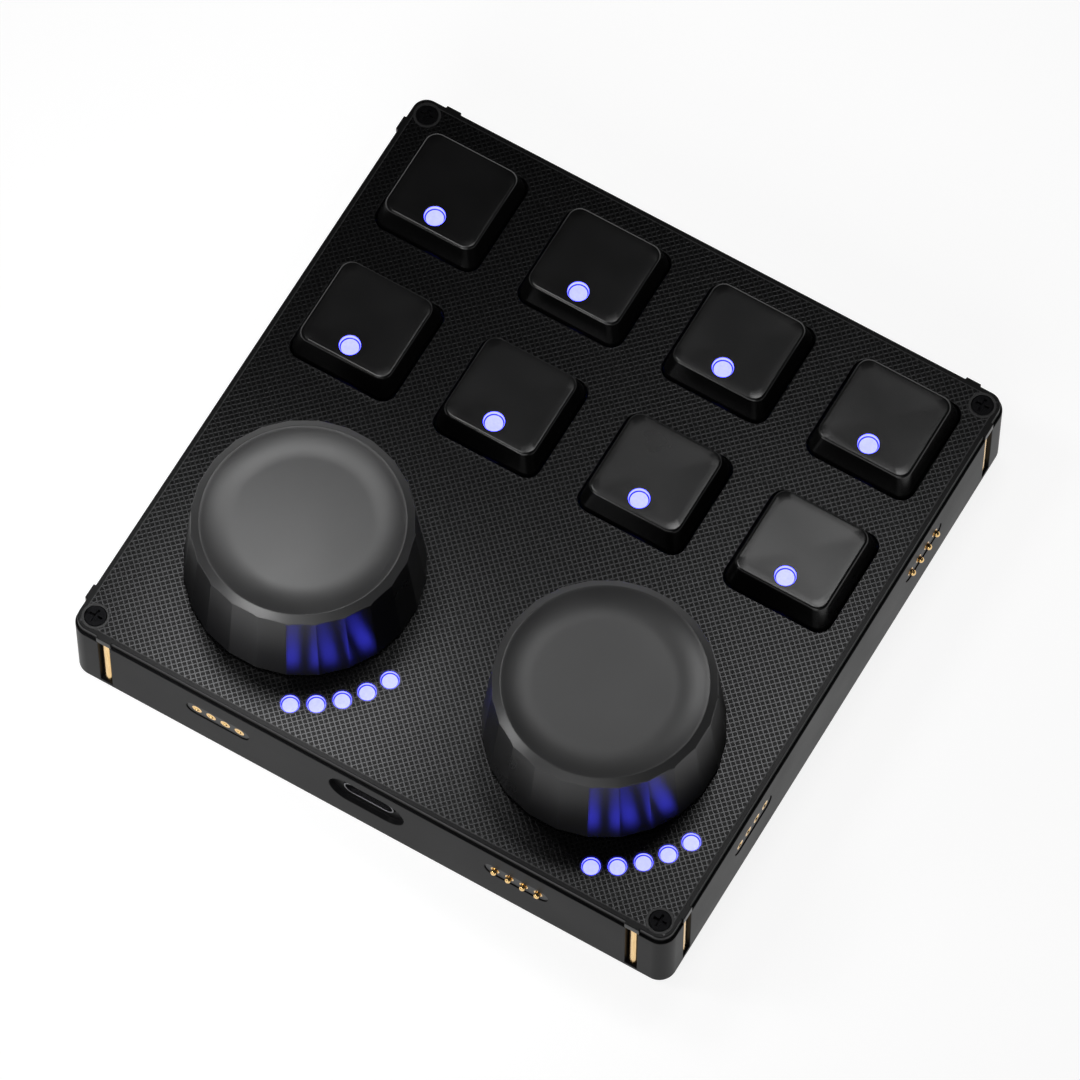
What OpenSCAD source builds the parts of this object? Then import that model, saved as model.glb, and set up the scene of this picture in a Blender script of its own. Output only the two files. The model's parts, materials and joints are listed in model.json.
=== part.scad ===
// Macro keypad with two knobs: a square case with eight keys, two faceted rotary knobs,
// indicator lights, a USB-C socket and magnetic docking contacts on all four walls.
// Units are millimetres. X runs to the right, Y to the rear, Z up from the table.
// The origin is under the middle of the case, on the table.

/* [Case] */
// Outer width and depth of the square case
case_side = 106.6; // [104:0.2:112]
// Height of the case, from its underside to the rim under the top plate
case_h = 14.7; // [14:0.1:17]
// Radius of the case's upright corners
case_corner_r = 2.8; // [2:0.1:3.2]
// Thickness of the four walls
wall_t = 2.6; // [2.2:0.1:3]
// Thickness of the floor
floor_t = 1.6; // [1.2:0.1:2.2]

/* [Feet] */
// How far the rubber feet stand out under the case
foot_h = 1.0; // [0.6:0.1:2]
// Radius of a rubber foot
foot_r = 5; // [3.5:0.1:6]
// Depth of the recess that a foot is glued into
foot_sink = 0.5; // [0.3:0.1:0.8]
// Distance from the case's edges to a foot's centre
foot_inset = 12; // [10:0.5:16]

/* [Top plate] */
// Thickness of the top plate
plate_t = 1.6; // [1.2:0.1:2]
// How far the plate's edge stays inside the walls' outer faces
plate_inset = 0.4; // [0.2:0.1:0.6]
// Width of the plate's tabs that close the magnet slots
tab_w = 2.6; // [2.4:0.1:3.4]
// Distance from the case's edges to a corner screw
screw_inset = 3.1; // [2.9:0.1:3.3]
// Radius of a corner screw's head
screw_head_r = 1.7; // [1.5:0.05:1.9]
// Radius of a corner screw's shank
screw_r = 0.95; // [0.8:0.05:1.1]
// Height of the brass insert that a corner screw turns into
insert_h = 4; // [3:0.5:6]

/* [Keys] */
// Distance from the case's side faces to the outer keys' centres
key_side_gap = 14.3; // [13.4:0.1:15.6]
// Distance from the case's rear face to the rear row's centres
key_rear_gap = 14.5; // [14:0.1:15.5]
// Width and depth of a keycap at its foot
cap_base = 18.2; // [17.4:0.1:18.8]
// Width of a keycap's top face
cap_top_w = 16.2; // [15.4:0.1:16.8]
// Depth of a keycap's top face
cap_top_d = 15.7; // [15:0.1:16.4]
// Radius of a keycap's corners at its foot
cap_corner_r = 2; // [1.6:0.1:2.6]
// Size of the bevel round a keycap's top face
cap_edge = 0.35; // [0.2:0.05:0.5]
// Height of a keycap's top face above the plate
cap_rise = 4.3; // [3.8:0.1:5.6]
// Thickness of a keycap's top
cap_skin = 1.5; // [1.3:0.1:1.8]
// Thickness of a keycap's sides
cap_side_t = 1.1; // [0.9:0.1:1.3]
// Gap between a keycap and the edge of its opening in the plate
cap_gap = 0.35; // [0.25:0.05:0.5]
// How far a keycap's foot reaches below the plate
cap_tuck = 0.4; // [0.2:0.1:0.8]
// Distance that a key travels
key_travel = 3; // [2.4:0.1:3.3]
// Radius of the light in a keycap
lens_r = 1.6; // [1.3:0.05:1.75]
// Distance from a key's centre to its light, towards the front
lens_forward = 5.1; // [4.9:0.1:5.3]
// Depth of a key's light below the keycap's top face
lens_sink = 0.9; // [0.5:0.1:1.1]

/* [Switches] */
// Width and depth of a switch housing
switch_side = 14; // [13.6:0.1:14.6]
// Height of a switch housing above the board
switch_h = 5.6; // [5.4:0.1:6]
// Thickness of a switch housing's roof
switch_roof = 0.8; // [0.6:0.1:1]
// Width of the stem's square neck
neck_w = 5.6; // [5.4:0.1:5.8]
// Depth of the stem's neck
neck_d = 5; // [4.8:0.1:5.2]
// Length of each arm pair of the stem's cross
cross_w = 4; // [3.8:0.1:4.2]
// Thickness of the cross's arms
cross_t = 1.2; // [1:0.1:1.4]
// Mean radius of the key spring
spring_r = 1.75; // [1.5:0.05:1.8]
// Radius of the spring's wire
wire_r = 0.15; // [0.1:0.01:0.18]
// Number of turns of the key spring
spring_turns = 5; // [4:1:6]

/* [Knobs] */
// Distance from the case's side faces to the knobs' skirts
knob_side_gap = 7.7; // [6.9:0.1:8.8]
// Distance from the case's front face to the knobs' skirts
knob_front_gap = 7.8; // [6.9:0.1:8.8]
// Number of flat facets round a knob's skirt
knob_facets = 24; // [18:1:36]
// Radius of a knob's skirt at its foot, over the facets' edges
knob_base_r = 18.9; // [18:0.1:19.5]
// Radius of the skirt at the knob's full height, over the facets' edges
knob_top_r = 17.25; // [16.7:0.05:17.6]
// Height of a knob, from its foot to its lip
knob_h = 16.4; // [15.5:0.1:20]
// Radius of the lip round the dished top
lip_r = 15.95; // [15.2:0.05:16.2]
// Drop of the bevel outside the lip, over one millimetre
bevel_slope = 0.66; // [0.4:0.02:0.9]
// Radius of the flat floor of the dish
dish_floor_r = 11; // [9:0.1:12]
// Depth of the dish
dish_depth = 1.5; // [0.6:0.1:2]
// Thickness of the knob's skirt wall
knob_wall = 2.5; // [2:0.1:3.2]
// Thickness of the knob's top under the dish
knob_roof = 3.4; // [2.8:0.1:4]
// Radius of the hub that holds the shaft
hub_r = 6; // [5:0.1:7]
// Distance that a knob can be pushed down
push_travel = 0.5; // [0.3:0.1:0.6]

/* [Encoders] */
// Width of an encoder's body
encoder_w = 11.7; // [11.2:0.1:12.4]
// Depth of an encoder's body
encoder_d = 12.4; // [11.6:0.1:13]
// Height of an encoder's body above the board
encoder_h = 6.6; // [6.4:0.1:7]
// Radius of the encoder's shaft
shaft_r = 3; // [2.8:0.05:3.1]
// Thickness of the bushing round the shaft
bushing_wall = 0.45; // [0.4:0.05:0.7]
// Height of the bushing above the encoder's body
bushing_h = 7; // [5:0.5:7.5]
// Depth of the flat on the shaft's side
shaft_flat = 1.5; // [1:0.1:1.8]

/* [Indicator lights] */
// Distance from a knob's skirt to its arc of lights
arc_gap = 4.45; // [4:0.05:4.9]
// Direction of the middle light of an arc, in degrees
arc_mid = -45; // [-48:1:-42]
// Angle between neighbouring lights of an arc, in degrees
arc_step = 9.9; // [8.6:0.1:10.4]
// Radius of an indicator light
guide_r = 1.4; // [1.2:0.05:1.5]
// Depth of an indicator light below the plate's surface
guide_sink = 0.6; // [0.3:0.1:0.9]

/* [Board and socket] */
// Thickness of the circuit board
board_t = 1.6; // [1:0.1:2]
// Gap between the board's edge and the walls
board_gap = 1.2; // [0.8:0.1:1.6]
// Distance from the case's rim down to the middle of the socket and contacts
port_drop = 5.7; // [5.1:0.1:6.2]
// Width of the USB-C socket's shell
usb_w = 8.94; // [8.6:0.02:9.2]
// Height of the USB-C socket's shell
usb_h = 3.16; // [3:0.02:3.4]
// Length of the USB-C socket's shell
usb_len = 7.3; // [6.6:0.1:8]
// Thickness of the shell's metal
usb_skin = 0.3; // [0.2:0.05:0.4]
// Width of the recess round the socket
usb_recess_w = 13.3; // [12.4:0.1:14]
// Height of the recess round the socket
usb_recess_h = 6.6; // [5.6:0.1:7]
// Depth of the recess round the socket
usb_recess_depth = 1; // [0.6:0.1:1.4]

/* [Docking contacts] */
// Distance between neighbouring contacts
pin_pitch = 2.54; // [2:0.02:2.6]
// Radius of a spring pin's plunger
pin_r = 0.5; // [0.4:0.05:0.55]
// How far a spring pin stands out of the wall
pin_out = 0.7; // [0.4:0.1:0.9]
// Height of a contact block's window in the wall
dock_h = 3.2; // [3:0.05:3.4]
// Gap between a contact block and the switches behind it
dock_back_gap = 0.9; // [0.6:0.1:1.2]
// How far a contact block's face lies inside the wall's face
dock_sink = 0.2; // [0.1:0.05:0.4]
// Distance from the case's corner to a magnet
magnet_inset = 6.3; // [6.2:0.1:7]
// Radius of a magnet rod
magnet_r = 0.95; // [0.8:0.05:1]
// Depth of a magnet's axis behind the wall's face
magnet_depth = 1.35; // [1.2:0.05:1.5]
// Height of the case's material left under a magnet
magnet_floor = 0.9; // [0.6:0.1:1.4]

/* [Hidden] */
$fn = 64;

// Shared clearances
roomy = 0.2;
loose = 0.1;
running = 0.05;
snug = 0.03;

// Thickness of a hull's outline layers
sliver = 0.01;
// How far a cut runs past the face that it opens
past = 1;

// Heights of the main levels
case_z = foot_h;
floor_top = case_z + floor_t;
rim_z = case_z + case_h;
plate_top = rim_z + plate_t;
port_z = rim_z - port_drop;
board_top = port_z - max(dock_h, usb_h) / 2;
board_bottom = board_top - board_t;

// Case
half = case_side / 2;
inner_half = half - wall_t;
inner_corner_r = 1;
wall_angles = [0, 90, 180, 270];
screw_xy = half - screw_inset;
insert_wall = 0.65;
insert_r = screw_r + insert_wall;
post_wall = 1.6;
post_r = insert_r + post_wall;
magnet_rib = 1.1;
magnet_slot_r = magnet_r + loose;
magnet_x = half - magnet_inset;
magnet_z = case_z + magnet_floor;
magnet_gap = 0.1;
foot_xy = half - foot_inset;

// Top plate
plate_side = case_side - 2 * plate_inset;
plate_corner_r = case_corner_r - plate_inset;
screw_head_h = 0.9;
screw_short = 0.4;
screw_len = plate_t + insert_h - screw_short;
drive_w = 0.45;
drive_len = 2.2;
drive_depth = 0.5;

// Keys
key_columns = 4;
key_pitch = (case_side - 2 * key_side_gap) / (key_columns - 1);
cap_top = plate_top + cap_rise;
cap_foot = rim_z - cap_tuck;
cap_ceiling = cap_top - cap_skin;
cap_shoulder = 0.15;
cap_hole = cap_base + 2 * cap_gap;
lens_hole_r = lens_r + running;
lens_top = cap_top - lens_sink;
lens_boss_wall = 0.8;
lens_boss_r = lens_hole_r + lens_boss_wall;
lens_boss_drop = 1.2;
lens_boss_foot = cap_ceiling - lens_boss_drop;
housing_top = board_top + switch_h;
neck_top = housing_top + key_travel;
boss_foot = neck_top + roomy;
boss_wall = 0.7;
boss_r = cross_w / 2 + boss_wall;
cross_top = cap_ceiling - roomy;
flange_h = 0.8;
flange_out = 0.6;
flange_top = housing_top - switch_roof - running;
stem_foot = flange_top - flange_h;
well_spare = 0.15;
well_floor = stem_foot - key_travel - well_spare;
spring_bore_r = spring_r + wire_r + running;
spring_cover = 2.4;
spring_top = neck_top - spring_cover;
window_w = 4.2;
window_wall = 0.35;
led_side = 2;
led_h = 0.8;
led_back = 0.15;

// Spring wire
wire_sides = 6;
wire_steps = 8;

// Knobs and encoders
knob_x = half - knob_side_gap - knob_base_r;
knob_y = knob_front_gap + knob_base_r - half;
knob_foot = plate_top + push_travel + loose;
knob_lip = knob_foot + knob_h;
dish_floor = knob_lip - dish_depth;
dish_run = lip_r - dish_floor_r;
dish_curve = (dish_run * dish_run + dish_depth * dish_depth) / (2 * dish_depth);
dish_angle = asin(dish_run / dish_curve);
knob_ceiling = dish_floor - knob_roof;
hub_cover = 1.8;
hub_ceiling = dish_floor - hub_cover;
encoder_top = board_top + encoder_h;
encoder_lid = 0.8;
encoder_base = 1;
rotor_rim = 1.1;
rotor_r = shaft_r + rotor_rim;
rotor_room_r = rotor_r + roomy + loose;
rotor_h = 1.7;
rotor_top = encoder_top - encoder_lid - loose;
rotor_foot = rotor_top - rotor_h;
bushing_top = encoder_top + bushing_h;
bushing_bore = shaft_r + running;
bushing_r = bushing_bore + bushing_wall;
hub_foot = bushing_top + push_travel + roomy + loose;
shaft_top = hub_ceiling - roomy;
flat_foot = hub_foot - roomy;
cup_r = rotor_r - roomy;
cup_foot = board_top + encoder_base + push_travel + running;

// Indicator lights
arc_lights = [-2, -1, 0, 1, 2];
arc_r = knob_base_r + arc_gap;
guide_top = plate_top - guide_sink;
guide_gap = 0.4;
guide_foot = board_top + led_h + guide_gap;
guide_bar_h = 1.5;
guide_bar_w = 2.2;

// Socket
usb_proud = 0.25;
usb_front = usb_recess_depth - usb_proud;
usb_gap = 0.12;
usb_back = 0.5;
tongue_side_gap = 1.12;
tongue_w = usb_w - 2 * tongue_side_gap;
tongue_t = 0.7;
tongue_sink = 1;

// Docking contacts, in line with the knobs
pin_count = 4;
dock_x = (knob_x - knob_y) / 2;
dock_end = 1.8;
dock_w = (pin_count - 1) * pin_pitch + 2 * dock_end;
dock_flange = 0.5;
dock_depth = min(key_side_gap, key_rear_gap) - switch_side / 2 - dock_back_gap;
barrel_wall = 0.25;
barrel_r = pin_r + barrel_wall;
barrel_bore = pin_r + running;
dock_cover = 0.8;
barrel_end = dock_depth - dock_cover;
barrel_back = 0.4;
plunger_spare = 0.5;
plunger_end = barrel_end - barrel_back - pin_out - plunger_spare;
cup_r_out = 0.85;
cup_end = 2.6;
dimple_r = 0.55;
dimple_deep = 0.35;

// Board
board_half = inner_half - board_gap;
board_corner_cut = 7;
board_screw_r = 0.95;
board_head_r = 1.9;
board_head_h = 1.3;
board_drive_depth = 0.7;
board_post_r = 3;
board_post_inset = 5.8;
board_post_x = board_half - board_post_inset;
board_tip_gap = 1.2;
board_screw_tip = floor_top + board_tip_gap;
middle_y = (key_y(1) + knob_y) / 2;
board_post_places = [
    [-key_pitch, key_y(0) - key_pitch / 2],
    [key_pitch, key_y(0) - key_pitch / 2],
    [-board_post_x, middle_y],
    [board_post_x, middle_y],
    [0, knob_y]
];
chip_side = 7;
chip_h = 0.9;
chip_gap = 2;
memory_w = 5;
memory_d = 4;
driver_side = 3.2;

// Place of key number n, counted from 1 along the rear row and then the front row
function key_x(n) = ((n - 1) % key_columns - (key_columns - 1) / 2) * key_pitch;
function key_y(row) = half - key_rear_gap - row * key_pitch;
function key_place(n) = [key_x(n), key_y(floor((n - 1) / key_columns))];
function polar(r, a) = [r * cos(a), r * sin(a)];

module round_rect(w, d, r) {
    square([w - 2 * r, d], center = true);
    square([w, d - 2 * r], center = true);
    for (x = [-1, 1], y = [-1, 1])
        translate([x * (w / 2 - r), y * (d / 2 - r)])
            circle(r);
}

module stadium(w, h) {
    square([w - h, h], center = true);
    for (x = [-1, 1])
        translate([x * (w - h) / 2, 0])
            circle(h / 2);
}

module centred_block(w, d, h) {
    translate([-w / 2, -d / 2, 0])
        cube([w, d, h]);
}

module tube(h, r, bore_r) {
    difference() {
        cylinder(h = h, r = r);
        translate([0, 0, -past])
            cylinder(h = h + 2 * past, r = bore_r);
    }
}

// Puts its children on each of the four walls. They are drawn for the front wall.
module on_each_wall() {
    for (a = wall_angles)
        rotate(a)
            children();
}

// Extrudes a flat outline inwards from a depth behind the front wall's face
module into_wall(x, z, from, to) {
    translate([x, -half + from, z])
        rotate([-90, 0, 0])
            linear_extrude(to - from)
                children();
}

module at_pins() {
    for (i = [0 : pin_count - 1])
        translate([(i - (pin_count - 1) / 2) * pin_pitch, 0])
            children();
}

module at_corners(xy) {
    for (x = [-xy, xy], y = [-xy, xy])
        translate([x, y, 0])
            children();
}

module at_keys() {
    for (n = [1 : 2 * key_columns])
        translate(key_place(n))
            children();
}

module at_knobs() {
    for (side = [-1, 1])
        translate([side * knob_x, knob_y, 0])
            children();
}

module at_arc_lights() {
    for (i = arc_lights)
        translate(polar(arc_r, arc_mid + i * arc_step))
            children();
}

module magnet_slot_outline() {
    translate([0, magnet_depth])
        circle(magnet_slot_r);
    translate([-magnet_slot_r, -past])
        square([2 * magnet_slot_r, magnet_depth + past]);
}

module case_walls() {
    translate([0, 0, case_z])
        linear_extrude(case_h)
            difference() {
                round_rect(case_side, case_side, case_corner_r);
                square(2 * inner_half, center = true);
            }
    translate([0, 0, case_z])
        linear_extrude(floor_t)
            round_rect(case_side, case_side, case_corner_r);
}

module case_posts() {
    intersection() {
        translate([0, 0, case_z])
            linear_extrude(case_h)
                round_rect(case_side, case_side, case_corner_r);
        at_corners(screw_xy)
            translate([0, 0, case_z])
                cylinder(h = case_h, r = post_r);
    }
    for (place = board_post_places)
        translate([place[0], place[1], case_z])
            cylinder(h = board_bottom - case_z, r = board_post_r);
    on_each_wall()
        for (x = [-magnet_x, magnet_x])
            translate([x, -half + wall_t / 2, case_z])
                translate([-magnet_slot_r - magnet_rib, 0, 0])
                    cube([
                        2 * (magnet_slot_r + magnet_rib),
                        magnet_depth + magnet_slot_r + magnet_rib - wall_t / 2,
                        case_h
                    ]);
}

module case_tray() {
    color("#26262a")
        difference() {
            union() {
                case_walls();
                case_posts();
            }
            on_each_wall() {
                for (x = [-magnet_x, magnet_x])
                    translate([x, -half, magnet_z])
                        linear_extrude(case_h)
                            magnet_slot_outline();
                for (x = [-dock_x, dock_x])
                    into_wall(x, port_z, -past, wall_t + past)
                        stadium(dock_w, dock_h);
            }
            into_wall(0, port_z, -past, usb_recess_depth)
                stadium(usb_recess_w, usb_recess_h);
            into_wall(0, port_z, 0, wall_t + past)
                stadium(usb_w + 2 * usb_gap, usb_h + 2 * usb_gap);
            at_corners(screw_xy)
                translate([0, 0, rim_z - insert_h - past])
                    cylinder(h = insert_h + 2 * past, r = insert_r);
            at_corners(foot_xy)
                translate([0, 0, case_z - past])
                    cylinder(h = foot_sink + past, r = foot_r + loose);
            for (place = board_post_places)
                translate([place[0], place[1], floor_top])
                    cylinder(h = board_top, r = board_screw_r + snug);
        }
}

module top_plate() {
    color("#1a1a1c")
        difference() {
            translate([0, 0, rim_z])
                linear_extrude(plate_t)
                    union() {
                        round_rect(plate_side, plate_side, plate_corner_r);
                        on_each_wall()
                            for (x = [-magnet_x, magnet_x])
                                translate([x - tab_w / 2, -half])
                                    square([tab_w, 2 * plate_inset]);
                    }
            translate([0, 0, rim_z - past])
                linear_extrude(plate_t + 2 * past) {
                    at_keys()
                        round_rect(cap_hole, cap_hole, cap_corner_r + cap_gap);
                    at_knobs() {
                        circle(bushing_r + roomy);
                        at_arc_lights()
                            circle(guide_r + running);
                    }
                    at_corners(screw_xy)
                        circle(screw_r + loose);
                }
            at_corners(screw_xy)
                translate([0, 0, plate_top - screw_head_h])
                    cylinder(h = screw_head_h + sliver, r1 = screw_r + loose, r2 = screw_head_r + loose);
        }
}

module plate_screws() {
    color("#0c0c0d")
        at_corners(screw_xy)
            difference() {
                union() {
                    translate([0, 0, plate_top - screw_len])
                        cylinder(h = screw_len - screw_head_h / 2, r = screw_r);
                    translate([0, 0, plate_top - screw_head_h])
                        cylinder(h = screw_head_h, r1 = screw_r, r2 = screw_head_r);
                }
                drive_cross(plate_top - drive_depth);
            }
}

// Cross-shaped recess in a screw's head, from its floor upwards
module drive_cross(floor_z) {
    for (a = [0, 90])
        rotate(a)
            translate([0, 0, floor_z])
                centred_block(drive_len, drive_w, past);
}

module screw_inserts() {
    color("#b08d3f")
        at_corners(screw_xy)
            translate([0, 0, rim_z - insert_h])
                tube(insert_h, insert_r - snug, screw_r + snug);
}

module rubber_feet() {
    color("#141414")
        at_corners(foot_xy)
            cylinder(h = foot_h + foot_sink, r = foot_r);
}

module corner_magnets() {
    color("#d6a74f")
        on_each_wall()
            for (x = [-magnet_x, magnet_x])
                translate([x, -half + magnet_depth, magnet_z])
                    cylinder(h = rim_z - magnet_z - magnet_gap, r = magnet_r);
}

module main_board() {
    color("#14351f")
        difference() {
            translate([0, 0, board_bottom])
                linear_extrude(board_t)
                    difference() {
                        square(2 * board_half, center = true);
                        for (x = [-1, 1], y = [-1, 1])
                            translate([x * board_half, y * board_half])
                                square(2 * board_corner_cut, center = true);
                    }
            for (place = board_post_places)
                translate([place[0], place[1], board_bottom - past])
                    cylinder(h = board_t + 2 * past, r = board_screw_r + loose);
        }
}

module board_screws() {
    color("#3a3a3e")
        for (place = board_post_places)
            translate([place[0], place[1], 0])
                difference() {
                    union() {
                        translate([0, 0, board_screw_tip])
                            cylinder(h = board_top + board_head_h / 2 - board_screw_tip, r = board_screw_r);
                        translate([0, 0, board_top])
                            cylinder(h = board_head_h, r = board_head_r);
                    }
                    drive_cross(board_top + board_head_h - board_drive_depth);
                }
}

module usb_shell() {
    color("#55565a")
        difference() {
            into_wall(0, port_z, usb_front, usb_front + usb_len)
                stadium(usb_w, usb_h);
            into_wall(0, port_z, usb_front - past, usb_front + usb_len - usb_back)
                stadium(usb_w - 2 * usb_skin, usb_h - 2 * usb_skin);
        }
}

module usb_tongue() {
    color("#101012")
        into_wall(0, port_z, usb_front + tongue_sink, usb_front + usb_len - usb_back)
            square([tongue_w, tongue_t], center = true);
}

module switch_housing() {
    difference() {
        translate([0, 0, board_top])
            centred_block(switch_side, switch_side, switch_h);
        translate([0, 0, well_floor])
            centred_block(
                neck_w + 2 * flange_out + 2 * loose,
                neck_d + 2 * flange_out + 2 * loose,
                housing_top - switch_roof - well_floor
            );
        translate([0, 0, well_floor])
            centred_block(neck_w + 2 * loose, neck_d + 2 * loose, switch_h);
        translate([-window_w / 2, -switch_side, board_top - past])
            cube([
                window_w,
                switch_side - neck_d / 2 - flange_out - loose - window_wall,
                switch_h + 2 * past
            ]);
    }
}

module switch_housings() {
    color("#303035")
        at_keys()
            switch_housing();
}

module board_leds() {
    color("#dfe2ff") {
        at_keys()
            translate([0, -lens_forward - led_back, board_top])
                centred_block(led_side, led_side, led_h);
        at_knobs()
            at_arc_lights()
                translate([0, 0, board_top])
                    centred_block(led_side, led_side, led_h);
    }
}

module light_guides() {
    color("#c3c8ff")
        at_knobs() {
            at_arc_lights()
                translate([0, 0, guide_foot])
                    cylinder(h = guide_top - guide_foot, r = guide_r);
            rotate(arc_mid - 2 * arc_step)
                translate([0, 0, rim_z - guide_bar_h])
                    rotate_extrude(angle = 4 * arc_step)
                        translate([arc_r - guide_bar_w / 2, 0])
                            square([guide_bar_w, guide_bar_h]);
        }
}

module controller_chips() {
    color("#1b1b1f")
        translate([0, middle_y, board_top]) {
            centred_block(chip_side, chip_side, chip_h);
            translate([-(chip_side + memory_w) / 2 - chip_gap, 0, 0])
                centred_block(memory_w, memory_d, chip_h);
            translate([(chip_side + driver_side) / 2 + chip_gap, 0, 0])
                centred_block(driver_side, driver_side, chip_h);
        }
}

module encoder_bodies() {
    color("#23302a")
        at_knobs()
            difference() {
                translate([0, 0, board_top])
                    centred_block(encoder_w, encoder_d, encoder_h);
                translate([0, 0, board_top + encoder_base])
                    cylinder(h = encoder_h - encoder_base - encoder_lid, r = rotor_room_r);
                translate([0, 0, board_top + encoder_base])
                    cylinder(h = encoder_h, r = bushing_bore);
            }
}

module encoder_bushings() {
    color("#8f9094")
        at_knobs()
            translate([0, 0, encoder_top])
                tube(bushing_h, bushing_r, bushing_bore);
}

module dock_blocks() {
    color("#1d1d20")
        on_each_wall()
            difference() {
                for (x = [-dock_x, dock_x]) {
                    into_wall(x, port_z, dock_sink, dock_depth)
                        stadium(dock_w - 2 * running, dock_h - 2 * running);
                    into_wall(x, port_z, wall_t + running, dock_depth)
                        square([dock_w + 2 * dock_flange, dock_h - 2 * running], center = true);
                }
                into_wall(dock_x, port_z, -past, barrel_end)
                    at_pins()
                        circle(barrel_r + snug);
                into_wall(-dock_x, port_z, -past, cup_end)
                    at_pins()
                        circle(cup_r_out + snug);
            }
}

// Gold barrels round the spring pins, and dimpled cups that a neighbour's pins press into
module dock_contacts() {
    color("#d9a441")
        on_each_wall() {
            difference() {
                into_wall(dock_x, port_z, dock_sink, barrel_end)
                    at_pins()
                        circle(barrel_r);
                into_wall(dock_x, port_z, -past, barrel_end - barrel_back)
                    at_pins()
                        circle(barrel_bore);
            }
            difference() {
                into_wall(-dock_x, port_z, dock_sink, cup_end)
                    at_pins()
                        circle(cup_r_out);
                translate([-dock_x, -half + dock_sink + dimple_deep - dimple_r, port_z])
                    at_pins()
                        sphere(dimple_r);
            }
        }
}

module cap_layer(w, d, r, z) {
    translate([0, 0, z])
        linear_extrude(sliver)
            round_rect(w, d, r);
}

// Solid outline of a keycap, or of the room inside it when inset is above 0
module cap_form(inset, foot, top, edge) {
    foot_w = cap_base - 2 * inset;
    foot_r_in = cap_corner_r - inset / 2;
    top_r = cap_corner_r - inset / 2 - 0.2;
    hull() {
        cap_layer(foot_w, foot_w, foot_r_in, foot);
        cap_layer(foot_w, foot_w, foot_r_in, plate_top + cap_shoulder);
        cap_layer(cap_top_w - 2 * inset, cap_top_d - 2 * inset, top_r, top - edge - sliver);
        cap_layer(
            cap_top_w - 2 * inset - 2 * edge,
            cap_top_d - 2 * inset - 2 * edge,
            top_r - edge / 2,
            top - sliver
        );
    }
}

module keycap(n) {
    color("#2a2a2d")
        translate(key_place(n)) {
            difference() {
                cap_form(0, cap_foot, cap_top, cap_edge, $fn = 32);
                difference() {
                    cap_form(cap_side_t, cap_foot - past, cap_ceiling, cap_edge, $fn = 32);
                    translate([0, 0, boss_foot])
                        cylinder(h = cap_top - boss_foot, r = boss_r);
                    translate([0, -lens_forward, lens_boss_foot])
                        cylinder(h = cap_top - lens_boss_foot, r = lens_boss_r);
                }
                translate([0, -lens_forward, lens_boss_foot - past])
                    cylinder(h = cap_top - lens_boss_foot + 2 * past, r = lens_hole_r);
                for (a = [0, 90])
                    rotate(a)
                        translate([0, 0, boss_foot - past])
                            centred_block(
                                cross_w + 2 * snug,
                                cross_t + 2 * snug,
                                cross_top + snug - boss_foot + past
                            );
            }
        }
}

module key_lens(n) {
    color("#c9ccff")
        translate(key_place(n))
            translate([0, -lens_forward, lens_boss_foot])
                cylinder(h = lens_top - lens_boss_foot, r = lens_r);
}

module key_stem(n) {
    color("#8c2f2f")
        translate(key_place(n))
            difference() {
                union() {
                    translate([0, 0, stem_foot])
                        centred_block(neck_w + 2 * flange_out, neck_d + 2 * flange_out, flange_h);
                    translate([0, 0, stem_foot])
                        centred_block(neck_w, neck_d, neck_top - stem_foot);
                    for (a = [0, 90])
                        rotate(a)
                            translate([0, 0, neck_top - past])
                                centred_block(cross_w, cross_t, cross_top - neck_top + past);
                }
                translate([0, 0, stem_foot - past])
                    cylinder(h = spring_top - stem_foot + past, r = spring_bore_r);
            }
}

// One point on the spring wire: step counts along the coil, side round the wire
function wire_point(step, side) =
    let (
        turn = 360 * step / wire_steps,
        round_wire = 360 * side / wire_sides,
        r = spring_r + wire_r * cos(round_wire),
        rise = spring_top - well_floor - 2 * wire_r,
        z = well_floor + wire_r + rise * step / (spring_turns * wire_steps)
    )
    [r * cos(turn), r * sin(turn), z + wire_r * sin(round_wire)];

module key_spring(n) {
    steps = spring_turns * wire_steps;
    last = steps * wire_sides;
    points = [
        for (step = [0 : steps], side = [0 : wire_sides - 1])
            wire_point(step, side)
    ];
    skin = [
        for (step = [0 : steps - 1], side = [0 : wire_sides - 1])
            let (
                a = step * wire_sides + side,
                b = step * wire_sides + (side + 1) % wire_sides
            )
            each [[a, b, a + wire_sides], [b, b + wire_sides, a + wire_sides]]
    ];
    ends = [
        for (side = [1 : wire_sides - 2])
            each [[0, side + 1, side], [last, last + side, last + side + 1]]
    ];
    color("#c8c8cc")
        translate(key_place(n))
            polyhedron(points = points, faces = concat(skin, ends));
}

module knob_facet_block() {
    half_facet = 180 / knob_facets;
    translate([0, 0, knob_foot])
        linear_extrude(knob_h, scale = knob_top_r / knob_base_r)
            polygon([
                for (i = [0 : knob_facets - 1])
                    polar(knob_base_r, (2 * i + 1) * half_facet)
            ]);
}

// Half section of the knob's top: the bevel outside the lip, and the dish inside it
module knob_top_section() {
    reach = knob_base_r + past;
    bevel_drop = (reach - lip_r) * bevel_slope;
    arc_points = [
        for (a = [dish_angle : -dish_angle / 8 : 0.01])
            [
                dish_floor_r + dish_curve * sin(a),
                dish_floor + dish_curve * (1 - cos(a))
            ]
    ];
    polygon(concat(
        [
            [0, knob_foot],
            [reach, knob_foot],
            [reach, knob_lip - bevel_drop]
        ],
        arc_points,
        [
            [dish_floor_r, dish_floor],
            [0, dish_floor]
        ]
    ));
}

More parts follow.
